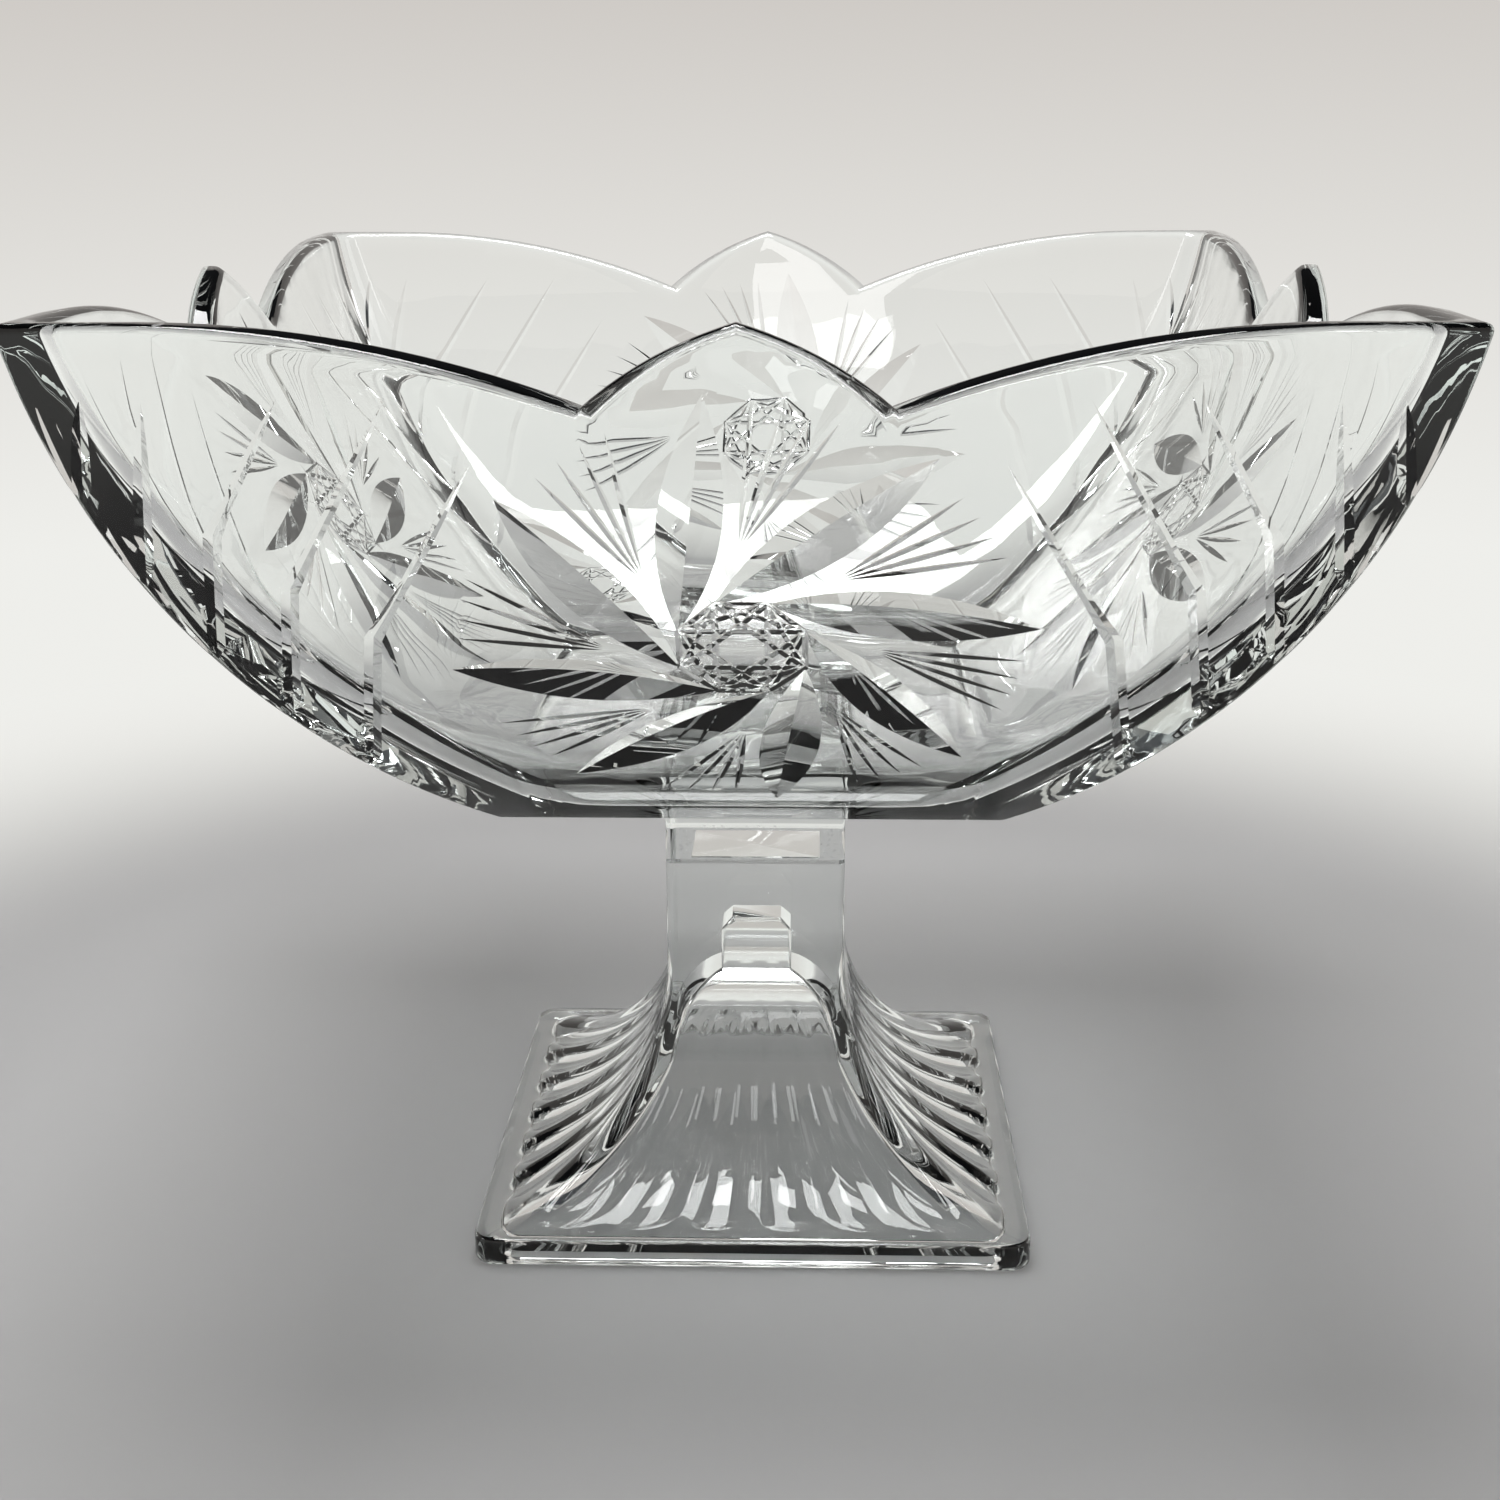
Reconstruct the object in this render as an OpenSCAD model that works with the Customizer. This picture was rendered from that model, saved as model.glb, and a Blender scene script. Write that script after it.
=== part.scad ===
// Square crystal punch bowl on a fluted square foot.
// Millimetres, +Z up, origin under the middle of the foot, front toward -Y.

/* [Bowl] */
// Width across the rim, from corner to corner of one side
rim_w = 300; // [260:1:340]
// Height of the rim corners above the table
rim_h = 258.7; // [235:0.1:290]
// Width of the flat underside of the bowl
floor_w = 129; // [110:1:145]
// Height of the flat underside above the table
floor_h = 124.5; // [112:0.5:140]
// Slope of the wall where it leaves the underside, in degrees
wall_a = 35; // [32:0.5:40]
// Thickness of the walls at the rim
wall_t = 6; // [5:0.25:8]
// Thickness of the walls where they leave the underside
base_t = 12.5; // [10:0.5:16]
// Thickness of the floor
floor_t = 10; // [8:0.5:14]
// Width of the slanting face in the inside corners, at the floor
corner_w = 16; // [12:0.5:22]
// Width of the slanting face in the inside corners, at the rim
corner_rim_w = 5; // [4:0.5:8]

/* [Rim] */
// Half width of the pointed lobe in the middle of each side
notch_x = 34; // [28:0.5:42]
// Depth of the notches below the rim corners
notch_d = 18; // [12:0.5:22]
// Bulge of each side of the pointed lobe
lobe_bulge = 2; // [1:0.25:3.5]
// Length of level rim beside each corner
level_l = 20; // [10:1:40]

/* [Pinwheel] */
// Height of the pinwheel's middle, measured up the wall from the underside
wheel_s = 83; // [76:0.5:90]
// Number of leaves round the pinwheel
leaf_n = 8; // [8]
// Distance from the middle of the pinwheel to the leaf tips
leaf_r = 66; // [58:0.5:70]
// Turn from the root of a leaf to its tip, in degrees
leaf_turn = 61.5; // [50:0.5:68]
// Width of a leaf at its middle
leaf_w = 14; // [9:0.5:15]
// Depth of a leaf at its middle
leaf_d = 2.8; // [2.5:0.05:3.2]
// Radius of the eight-sided button in the middle
button_r = 15.2; // [12:0.1:16]
// Depth of the button's flat face below the wall
button_d = 1; // [0.6:0.1:1.5]

/* [Corner cuts] */
// Number of upright cuts beside each corner, on each wall
cut_n = 5; // [3:1:5]
// Place of the lowest upright cut on the corner edge, measured down the wall from the rim corners
cut_s = 123.3; // [118:0.1:128]
// Spacing of the upright cuts along the corner edge
cut_pitch = 20.5; // [18:0.5:22]
// Length of an upright cut
cut_l = 42; // [34:0.5:48]
// Width of an upright cut at its middle
cut_w = 3; // [2:0.1:4]
// Depth of the corner cuts at their middle
cut_d = 1.4; // [1:0.1:1.8]
// Number of upright cuts that a leaning cut carries on
lean_n = 3; // [1:1:3]
// Rise of a leaning cut up the wall
lean_l = 49; // [36:0.5:52]
// Lean of these cuts from upright, in degrees
lean_a = 33; // [28:0.5:36]
// Width of a leaning cut at its middle
lean_w = 2; // [1.4:0.1:3]
// Distance kept between a cut and the corner edge or the next cut
cut_gap = 1.5; // [1:0.1:3]
// Height of plain wall kept under the rim corners
plain_l = 16; // [12:0.5:22]

/* [Foot] */
// Width of the foot on the table
foot_w = 151; // [130:1:170]
// Radius of the foot's upright corners
foot_r = 6; // [4:0.5:10]
// Height of the upright edge of the foot
lip_h = 7.6; // [6:0.2:10]
// Width of the square neck
neck_w = 50; // [44:0.5:56]
// Height of the top of the neck above the table
neck_h = 98; // [90:0.5:106]
// Radius of the flare from neck to foot
flare_r = 59; // [54:0.5:64]
// Width of the flat ring that stands on the table
ring_w = 7.5; // [6:0.25:10]
// Radius of the flare inside the hollow
hollow_r = 64; // [60:0.5:68]
// Width of the narrow top of the hollow
hollow_w = 20; // [14:0.5:24]
// Height of the straight sides at the top of the hollow
hollow_h = 74; // [70:0.5:78]
// Rise of the hollow's crowned top above its straight sides
crown_h = 3; // [1.5:0.5:5]
// Height of the shoulder inside the hollow
shoulder_h = 45; // [42:0.5:52]

/* [Foot flutes] */
// Number of flutes on each side of the foot
scoop_n = 6; // [4:2:6]
// Spacing of the flutes along the edge of the foot
scoop_pitch = 22.4; // [18:0.2:23]
// Width of the ridge left between two flutes at the edge of the foot
scoop_gap = 1.4; // [1:0.1:3]
// Greatest depth of a flute
scoop_d = 2.6; // [1:0.1:3]
// Distance kept between the flutes and the edge of the foot
scoop_back = 4; // [3:0.5:8]
// Slope of the flare where the flutes end under the neck, in degrees from upright
scoop_high = 12; // [8:1:30]

/* [Bond] */
// Thickness of the adhesive between bowl and neck
bond_t = 0.3; // [0.2:0.05:0.5]
// Width of the adhesive's square opening
bond_gap = 36; // [28:0.5:40]
// How far the adhesive stays back from the faces of the neck
bond_back = 0.5; // [0.2:0.1:1]

/* [Hidden] */
$fn = 96;
GLASS = "#d9e4e2";
SIDES = 4;
OVER = 20;
WHEEL_MAX = 2500;

// The outer wall is one arc from the underside to the rim
rim_p = rim_w / 2;
floor_p = floor_w / 2;
wall_chord = norm([rim_p - floor_p, rim_h - floor_h]);
half_turn = atan2(rim_h - floor_h, rim_p - floor_p) - wall_a;
wall_r = wall_chord / (2 * sin(half_turn));
wall_l = 2 * half_turn * PI / 180 * wall_r;
arc_p = floor_p - wall_r * sin(wall_a);
arc_z = floor_h + wall_r * cos(wall_a);

// Slope of the wall at a distance s up from the underside, and the place there
function slope(s) = wall_a + s / wall_r * 180 / PI;
function wall_p(s) = arc_p + wall_r * sin(slope(s));
function wall_z(s) = arc_z - wall_r * cos(slope(s));

// The inside is a smaller arc, set so that the wall thickens from the rim down to the underside
in_shift = (base_t - wall_t) / (2 * sin(half_turn));
in_r = wall_r - (base_t + wall_t) / 2;
in_p = arc_p + in_shift * cos(wall_a + half_turn);
in_z = arc_z + in_shift * sin(wall_a + half_turn);
floor_z = floor_h + floor_t;
function inside_p(z) = in_p + sqrt(pow(in_r, 2) - pow(in_z - z, 2));

// The slanting faces of the inside corners are arcs too, by their distance from the middle
slant_low = sqrt(2) * inside_p(floor_z) - corner_w / 2;
slant_rim = sqrt(2) * inside_p(rim_h) - corner_rim_w / 2;
slant_turn = (acos((in_z - rim_h) / in_r) - acos((in_z - floor_z) / in_r)) / 2;
slant_r = norm([slant_rim - slant_low, rim_h - floor_z]) / (2 * sin(slant_turn));
slant_a = atan2(rim_h - floor_z, slant_rim - slant_low) - slant_turn;
slant_p = slant_low - slant_r * sin(slant_a);
slant_z = floor_z + slant_r * cos(slant_a);

// The middle lobe is two arcs that meet in a soft point, the side lobes one arc each
lobe_chord = norm([notch_x, notch_d]);
lobe_r = (pow(lobe_chord / 2, 2) + pow(lobe_bulge, 2)) / (2 * lobe_bulge);
lobe_x = notch_x / 2 - (lobe_r - lobe_bulge) * notch_d / lobe_chord;
lobe_z = rim_h - notch_d / 2 - (lobe_r - lobe_bulge) * notch_x / lobe_chord;
level_x = rim_p - level_l;
side_r = (pow(level_x - notch_x, 2) + pow(notch_d, 2)) / (2 * notch_d);

// The foot flares on one arc, the hollow on another
foot_p = foot_w / 2;
neck_p = neck_w / 2;
flare_p = neck_p + flare_r;
flare_z = lip_h + sqrt(pow(flare_r, 2) - pow(flare_p - foot_p, 2));
hollow_p = foot_p - ring_w;
shoulder_p = flare_p - sqrt(pow(hollow_r, 2) - pow(hollow_r - shoulder_h, 2));
shoulder_r = shoulder_p - hollow_w / 2;
scoop_low = acos((flare_p - foot_p + scoop_back) / flare_r);
scoop_half = (scoop_pitch - scoop_gap) / 2;

// A section in X and Z, carried across the part both ways: a square body with mitred corners
module crossed(span) {
    intersection() {
        rotate([90, 0, 0]) linear_extrude(span, center = true) children();
        rotate([90, 0, 90]) linear_extrude(span, center = true) children();
    }
}

// Places children on one wall: X along it, Y up it, Z out of it
module on_wall(side, x, s) {
    rotate([0, 0, side * 90])
        translate([x, -wall_p(s), wall_z(s)])
            rotate([180 - slope(s), 0, 0]) children();
}

// The half plane under the scalloped rim
module under_rim() {
    translate([-rim_p - OVER, 0]) square([rim_w + 2 * OVER, rim_h - notch_d]);
    intersection() {
        translate([lobe_x, lobe_z]) circle(lobe_r);
        translate([-lobe_x, lobe_z]) circle(lobe_r);
        translate([-notch_x, 0]) square([2 * notch_x, rim_h + OVER]);
    }
    for (m = [0, 1]) mirror([m, 0]) {
        intersection() {
            translate([level_x, rim_h - side_r]) circle(side_r);
            translate([notch_x, 0]) square([level_x - notch_x, rim_h + OVER]);
        }
        translate([level_x, 0]) square([level_l + OVER, rim_h]);
    }
}

// The space between two facing arcs, above a given height
module between_arcs(p, z, r, base) {
    intersection() {
        translate([p, z]) circle(r);
        translate([-p, z]) circle(r);
        translate([-rim_w, base]) square([2 * rim_w, rim_h - base + OVER]);
    }
}

// A cut between two places on a wall, made by a pointed wheel plunged into its curve
module wheel_cut(side, from, to, w, d) {
    mid = (from + to) / 2;
    run = to - from;
    len = norm(run);
    heading = atan2(run.y, run.x);
    bend = pow(sin(heading), 2) / wall_r;
    wheel_r = 1 / max(8 * d / (len * len) - bend, 1 / WHEEL_MAX);
    deep = len * len / 8 * (1 / wheel_r + bend);
    reach = deep + 0.4;
    sweep = 2 * asin((len / 2 + 1) / wheel_r);
    on_wall(side, mid.x, mid.y)
        rotate([0, 0, heading])
            translate([0, 0, wheel_r - deep])
                rotate([90, 0, 0])
                    rotate([0, 0, -90 - sweep / 2])
                        rotate_extrude(angle = sweep)
                            polygon([
                                [wheel_r, 0],
                                [wheel_r - reach, w / 2 * reach / deep],
                                [wheel_r - reach, -w / 2 * reach / deep]
                            ]);
}

// One leaf of a pinwheel, from the button out to its tip
module leaf(side, i) {
    a = 360 / leaf_n * (i + 0.5);
    middle = [0, wheel_s];
    root = middle + button_r * [cos(a), sin(a)];
    tip = middle + leaf_r * [cos(a - leaf_turn), sin(a - leaf_turn)];
    wheel_cut(side, root, tip, leaf_w, leaf_d);
}

// The flat eight-sided button in the middle of a pinwheel
module button(side) {
    on_wall(side, 0, wheel_s)
        rotate([0, 0, 180 / leaf_n])
            translate([0, 0, -button_d]) cylinder(r = button_r, h = button_d + 2, $fn = leaf_n);
}

// One upright cut that rises from a corner edge, and the leaning cut that carries it on
module corner_cut(side, i, m) {
    s = wall_l - cut_s + cut_pitch * i;
    x = wall_p(s);
    top = wall_l - plain_l;
    end = min(s + cut_l, top);
    wheel_cut(side, [m * x, s + cut_gap], [m * x, end], cut_w, cut_d);
    lean_s = end + cut_gap;
    rise = min(lean_l, top - lean_s);
    if (i < lean_n)
        wheel_cut(side, [m * x, lean_s], [m * (x - rise * tan(lean_a)), lean_s + rise], lean_w, cut_d);
}

// The hollow of the bowl, with slanting faces in its corners
module inside() {
    span = 2 * (rim_w + OVER);
    intersection() {
        crossed(span) between_arcs(in_p, in_z, in_r, floor_z);
        rotate([0, 0, 45]) crossed(span) between_arcs(slant_p, slant_z, slant_r, floor_z);
    }
}

// Bowl
module bowl() {
    color(GLASS, 0.55) {
        difference() {
            crossed(rim_w + 2 * OVER) intersection() {
                between_arcs(arc_p, arc_z, wall_r, floor_h);
                under_rim();
            }
            inside();
            for (side = [0 : SIDES - 1], i = [0 : leaf_n - 1]) leaf(side, i);
            for (side = [0 : SIDES - 1]) button(side);
            for (side = [0 : SIDES - 1], i = [0 : cut_n - 1], m = [-1, 1]) corner_cut(side, i, m);
        }
        translate([-neck_p, -neck_p, neck_h + bond_t])
            cube([neck_w, neck_w, floor_h - neck_h - bond_t + 1]);
    }
}

// Outline of the foot from the side
module foot_section() {
    difference() {
        translate([-flare_p, 0]) square([2 * flare_p, neck_h]);
        for (m = [-1, 1]) {
            translate([m * flare_p, flare_z]) circle(flare_r);
            translate([m * (neck_p + flare_p), flare_z + neck_h])
                square([2 * flare_p, 2 * neck_h], center = true);
        }
    }
}

// Outline of the hollow under the foot
module hollow_section() {
    crown_p = hollow_w / 2 - crown_h;
    translate([-hollow_w / 2, -1]) square([hollow_w, hollow_h + 1]);
    polygon([
        [-hollow_w / 2, hollow_h],
        [hollow_w / 2, hollow_h],
        [crown_p, hollow_h + crown_h],
        [-crown_p, hollow_h + crown_h]
    ]);
    difference() {
        translate([-hollow_p, -1]) square([2 * hollow_p, shoulder_h + 1]);
        for (m = [-1, 1]) translate([m * flare_p, hollow_r]) circle(hollow_r);
    }
    for (m = [-1, 1]) translate([m * hollow_w / 2, shoulder_h]) circle(shoulder_r);
}

// A point on a flute of the foot: along runs 0 to 1 up the flare, across -1 to 1 over the flute
function scoop_point(x, along, across) =
    let (
        a = scoop_low + (scoop_high - scoop_low) * along,
        p = flare_p - flare_r * cos(a),
        shrink = p / foot_p,
        fade = pow(1.04 * (2 * along - 1), 8),
        d = scoop_d * shrink * (1 - across * across - fade)
    )
    [(x + across * scoop_half) * shrink, -p + d * cos(a), flare_z - flare_r * sin(a) - d * sin(a)];

// One flute on the foot: a scoop that narrows toward the neck and ends short of the lip
module scoop(side, x) {
    rows = 10;
    cols = 6;
    row = cols + 1;
    points = [
        for (j = [0 : rows], k = [0 : cols])
            scoop_point(x, (1 - cos(180 * j / rows)) / 2, 1.06 * (2 * k / cols - 1))
    ];
    under = [
        for (j = [0 : rows - 1], k = [0 : cols - 1])
            let (q = j * row + k) each [[q, q + 1, q + row + 1], [q, q + row + 1, q + row]]
    ];
    over = [
        for (j = [0 : rows - 1])
            let (q = j * row, w = q + cols) each [[q, w + row, w], [q, q + row, w + row]]
    ];
    ends = [
        for (k = [1 : cols - 1])
            let (q = rows * row) each [[0, k + 1, k], [q, q + k, q + k + 1]]
    ];
    rotate([0, 0, side * 90]) polyhedron(points, concat(under, over, ends));
}

// Pedestal
module pedestal() {
    color(GLASS, 0.55)
        difference() {
            intersection() {
                crossed(foot_w + 2 * OVER) foot_section();
                linear_extrude(neck_h) {
                    square([foot_w - 2 * foot_r, foot_w], center = true);
                    square([foot_w, foot_w - 2 * foot_r], center = true);
                    for (a = [-1, 1], b = [-1, 1])
                        translate([a, b] * (foot_p - foot_r)) circle(foot_r);
                }
            }
            crossed(foot_w + 2 * OVER) hollow_section();
            for (side = [0 : SIDES - 1], i = [0 : scoop_n - 1])
                scoop(side, (i - (scoop_n - 1) / 2) * scoop_pitch);
        }
}

// Bond film
module bond_film() {
    outer = neck_w - 2 * bond_back;
    color("#e8efe9", 0.5)
        translate([0, 0, neck_h])
            linear_extrude(bond_t)
                difference() {
                    square(outer, center = true);
                    square(bond_gap, center = true);
                }
}

bowl();
pedestal();
bond_film();
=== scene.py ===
from math import acos, asin, atan2, cos, hypot, pi, radians, sin, sqrt, tan

import bmesh
import bpy
import numpy as np
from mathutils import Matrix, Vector, kdtree
from mathutils.geometry import delaunay_2d_cdt


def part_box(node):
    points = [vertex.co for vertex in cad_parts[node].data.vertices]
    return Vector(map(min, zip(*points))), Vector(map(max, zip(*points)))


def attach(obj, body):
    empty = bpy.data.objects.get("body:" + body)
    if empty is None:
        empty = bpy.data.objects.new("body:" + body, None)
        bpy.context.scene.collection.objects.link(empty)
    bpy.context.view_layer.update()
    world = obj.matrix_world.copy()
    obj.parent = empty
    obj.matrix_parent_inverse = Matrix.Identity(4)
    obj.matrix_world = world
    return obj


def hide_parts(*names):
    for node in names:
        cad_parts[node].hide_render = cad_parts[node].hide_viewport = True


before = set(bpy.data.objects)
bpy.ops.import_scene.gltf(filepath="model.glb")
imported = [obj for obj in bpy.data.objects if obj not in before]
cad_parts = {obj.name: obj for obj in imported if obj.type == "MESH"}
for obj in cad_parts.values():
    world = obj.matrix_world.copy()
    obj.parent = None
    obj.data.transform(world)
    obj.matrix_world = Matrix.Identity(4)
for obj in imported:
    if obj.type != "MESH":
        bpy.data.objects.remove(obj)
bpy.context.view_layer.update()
mm = 0.001
sides = 4
print("frame loaded:", sorted(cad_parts))

# Camera at the photograph's place, sizes in millimetres and angles in degrees
view = {
    "place": (15.6, -569.4, 301.6),
    "turns": (72.587, 0.219, 1.71),
    "lens": 49.98,
    "sensor": 36,
}


def placeCamera():
    data = bpy.data.cameras.new("camera")
    data.lens = view["lens"]
    data.sensor_width = view["sensor"]
    camera = bpy.data.objects.new("camera", data)
    camera.location = Vector(view["place"]) * mm
    camera.rotation_euler = [radians(turn) for turn in view["turns"]]
    bpy.context.scene.collection.objects.link(camera)
    bpy.context.scene.camera = camera


placeCamera()
bpy.context.scene.view_settings.view_transform = "Standard"


class Mould:
    # gathers the points and faces of one piece of glass, in millimetres
    def __init__(self):
        self.points = []
        self.faces = []
        self.cut = set()

    def add(self, points):
        first = len(self.points)
        self.points.extend(tuple(float(v) for v in point) for point in points)
        return list(range(first, first + len(points)))

    def strip(self, low, high):
        self.faces.extend(zip(low, low[1:], high[1:], high))

    def band(self, low, high):
        self.strip(low + low[:1], high + high[:1])

    def loft(self, rings):
        ids = [self.add(ring) for ring in rings]
        for low, high in zip(ids, ids[1:]):
            self.band(low, high)
        return ids

    # edges stay crisp from an angle in degrees, which is smaller on cut walls
    def cast(self, name, crisp, crispCut=0):
        mesh = bpy.data.meshes.new(name)
        mesh.from_pydata([Vector(p) * mm for p in self.points], [], self.faces)
        shape = bmesh.new()
        shape.from_mesh(mesh)
        bmesh.ops.recalc_face_normals(shape, faces=shape.faces)
        openEdges = 0
        for edge in shape.edges:
            openEdges += len(edge.link_faces) != 2
            onCut = all(v.index in self.cut for v in edge.verts)
            edge.smooth = edge.calc_face_angle(0) < radians(crispCut if onCut else crisp)
        for face in shape.faces:
            face.smooth = True
        shape.to_mesh(mesh)
        shape.free()
        piece = bpy.data.objects.new(name, mesh)
        bpy.context.scene.collection.objects.link(piece)
        print(name, "faces", len(mesh.polygons), "open edges", openEdges)
        return piece


def turned(side):
    ring = []
    for quarter in range(sides):
        c, s = round(cos(quarter * pi / 2)), round(sin(quarter * pi / 2))
        ring += [(c * x - s * y, s * x + c * y, z) for x, y, z in side]
    return ring


# turns of a round corner, from one side to the next
def cornerTurns(steps):
    return [radians(90 * step / steps - 90) for step in range(1, steps)]


# one side of a ring with its corner, turned round the four sides; outs run away from the middle
def squareRing(outs, xs, highs, soft, steps):
    side = [(x, -out, high) for x, out, high in zip(xs, outs, highs)]
    middle = outs[-1] - soft
    for angle in cornerTurns(steps):
        side.append((middle + soft * cos(angle), soft * sin(angle) - middle, highs[-1]))
    return turned(side)


# places along a soft edge between two faces that meet at corner, each an out and a height
def softEdge(first, corner, last, steps=3):
    def at(t):
        return [(1 - t) ** 2 * a + 2 * t * (1 - t) * b + t * t * c for a, b, c in zip(first, corner, last)]

    return [at(t) for t in np.linspace(0, 1, steps + 1)]


# Bowl: its shape in millimetres, then the counts of steps and rings, then the crisp angles in degrees
bowlLow, bowlHigh = (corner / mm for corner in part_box("bowl"))
bowlShape = {
    "rimHalf": bowlHigh.x,
    "rimHigh": bowlHigh.z,
    "floorHalf": 64.5,
    "floorHigh": 124.5,
    "tilt": radians(35),
    "wall": 6.0,
    "wallLow": 12.5,
    "floor": 10.0,
    "notchX": 34.0,
    "notchDrop": 18.0,
    "lobeBulge": 2.0,
    "levelRun": 20.0,
    "rimSoft": 2.5,
    "underSoft": 1.1,
    "cornerSoft": 0.8,
    "insideSoft": 6.0,
    "insideSoftLow": 19.5,
    "floorSoft": 5.0,
    "floorSoftUp": 3.0,
    "stubHalf": 25.0,
    "stubSoft": 1.5,
    "stubFillet": 2.5,
    "stubEdge": 0.5,
    "stubLow": bowlLow.z,
    "bondClear": 0.03,
    "lobeSteps": 10,
    "sideSteps": 23,
    "evenX": 100.0,
    "cornerSteps": 10,
    "rimSteps": 6,
    "floorSteps": 6,
    "filletSteps": 5,
    "insideRings": 36,
    "insideBunch": 1.3,
    "floorShares": (0.75, 0.5, 0.25),
    "crisp": 44,
    "crispCut": 9,
}
wheelCut = {
    "s": 83.0,
    "leaves": 8,
    "reach": 66.0,
    "turn": 61.5,
    "leafWidth": 14.0,
    "leafDepth": 2.8,
    "buttonR": 15.2,
    "fanFrom": (31.0, 7.0),
    "fanTurns": (9.0, 14.5, 20.0, 25.5),
    "fanMiddle": 17.0,
    "fanSplay": 0.15,
    "fanReach": 63.0,
    "fanWidth": 1.5,
    "fanDepth": 0.55,
    "starWidth": 1.6,
    "starDepth": 0.6,
    "borderWidth": 1.4,
    "borderDepth": 0.6,
}
cornerCut = {
    "firstS": 35.0,
    "pitch": 22.0,
    "uprights": (51.0, 43.5, 36.0, 46.0, 46.0),
    "uprightLean": radians(9.5),
    "leaning": 3,
    "rise": 47.0,
    "lean": radians(29.5),
    "plain": 16.0,
    "width": 4.0,
    "depth": 0.75,
    "slim": 0.58,
    "slimming": 4.0,
    "startGap": 0.5,
    "startShare": 0.12,
    "widening": 8.0,
    "tipPower": 4,
    "points": 18,
    "leanPoints": 20,
    "pillow": 0.3,
    "edge": 4.0,
}
# spacing of the points on a cut wall
wallGrid = {
    "leafStep": 3.0,
    "leafSteps": 6,
    "rowStep": 2.4,
    "pillowStep": 2.4,
    "pillowAcross": 0.7,
    "pillowGap": 0.8,
    "plainStep": 4.5,
    "plainRows": 0.866,
    "plainGap": 1.6,
    "lineInset": 0.5,
    "spotInset": 1.0,
    "merge": 1e-4,
}

# the outer wall is one arc from the edge of the underside up to the rim's corners
floorTop = bowlShape["floorHigh"] + bowlShape["floor"]
rimOut = bowlShape["rimHalf"] - bowlShape["floorHalf"]
rimUp = bowlShape["rimHigh"] - bowlShape["floorHigh"]
rimAngle = atan2(rimUp, rimOut)
halfTurn = rimAngle - bowlShape["tilt"]
wallR = hypot(rimOut, rimUp) / (2 * sin(halfTurn))
arcOut = bowlShape["floorHalf"] - wallR * sin(bowlShape["tilt"])
arcHigh = bowlShape["floorHigh"] + wallR * cos(bowlShape["tilt"])


# place on the wall's arc, a run s up from the underside and a depth inside the outer face
def wallAt(s, depth=0.0):
    angle = bowlShape["tilt"] + np.asarray(s, float) / wallR
    return arcOut + (wallR - depth) * np.sin(angle), arcHigh - (wallR - depth) * np.cos(angle)


def runAt(high):
    return (np.arccos((arcHigh - np.asarray(high, float)) / wallR) - bowlShape["tilt"]) * wallR


# the inside is a smaller arc, set so that the wall thickens from the rim down to the underside
insideShift = (bowlShape["wallLow"] - bowlShape["wall"]) / (2 * sin(halfTurn))
insideR = wallR - (bowlShape["wallLow"] + bowlShape["wall"]) / 2
insideOut = arcOut + insideShift * cos(rimAngle)
insideHigh = arcHigh + insideShift * sin(rimAngle)


def insideAt(high):
    return insideOut + np.sqrt(insideR ** 2 - (insideHigh - np.asarray(high, float)) ** 2)


# the inside corners open out from the rim down to the floor
def insideSoft(high):
    levels = floorTop, bowlShape["rimHigh"]
    return float(np.interp(high, levels, (bowlShape["insideSoftLow"], bowlShape["insideSoft"])))


# the rim's height: two arcs to a soft point in the middle, one arc up to each corner
def rimHeight(x):
    x = np.abs(np.asarray(x, float))
    run, drop, bulge = bowlShape["notchX"], bowlShape["notchDrop"], bowlShape["lobeBulge"]
    chord = hypot(run, drop)
    lobeR = (chord * chord / 4 + bulge * bulge) / (2 * bulge)
    lobeX = run / 2 - (lobeR - bulge) * drop / chord
    lobeDrop = drop / 2 + (lobeR - bulge) * run / chord
    level = bowlShape["rimHalf"] - bowlShape["levelRun"]
    sideR = ((level - run) ** 2 + drop * drop) / (2 * drop)
    lobe = np.sqrt(np.maximum(lobeR ** 2 - (x - lobeX) ** 2, 0)) - lobeDrop
    slope = np.sqrt(np.maximum(sideR ** 2 - np.maximum(level - x, 0) ** 2, 0)) - sideR
    return bowlShape["rimHigh"] + np.where(x < run, lobe, slope)


# columns over one side, at the rim: close on the pointed lobe, then out to the corner
def rimColumns():
    notch, edge = bowlShape["notchX"], bowlShape["rimHalf"] - bowlShape["cornerSoft"]
    lobe = np.linspace(0, notch, bowlShape["lobeSteps"] + 1)[1:]
    half = np.concatenate([lobe, np.linspace(notch, edge, bowlShape["sideSteps"] + 1)[1:]])
    return np.concatenate([-half[::-1], [0], half])


# columns at another width: even in the middle, closing up toward the corner
def spread(columns, limit):
    limit = np.broadcast_to(np.asarray(limit, float), columns.shape)
    edge, even = columns[-1], bowlShape["evenX"]
    keep = np.minimum(even, limit * even / edge)
    size = np.abs(columns)
    outer = keep + (size - even) * (limit - keep) / (edge - even)
    return np.sign(columns) * np.where(size <= even, size * keep / even, outer)


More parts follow.
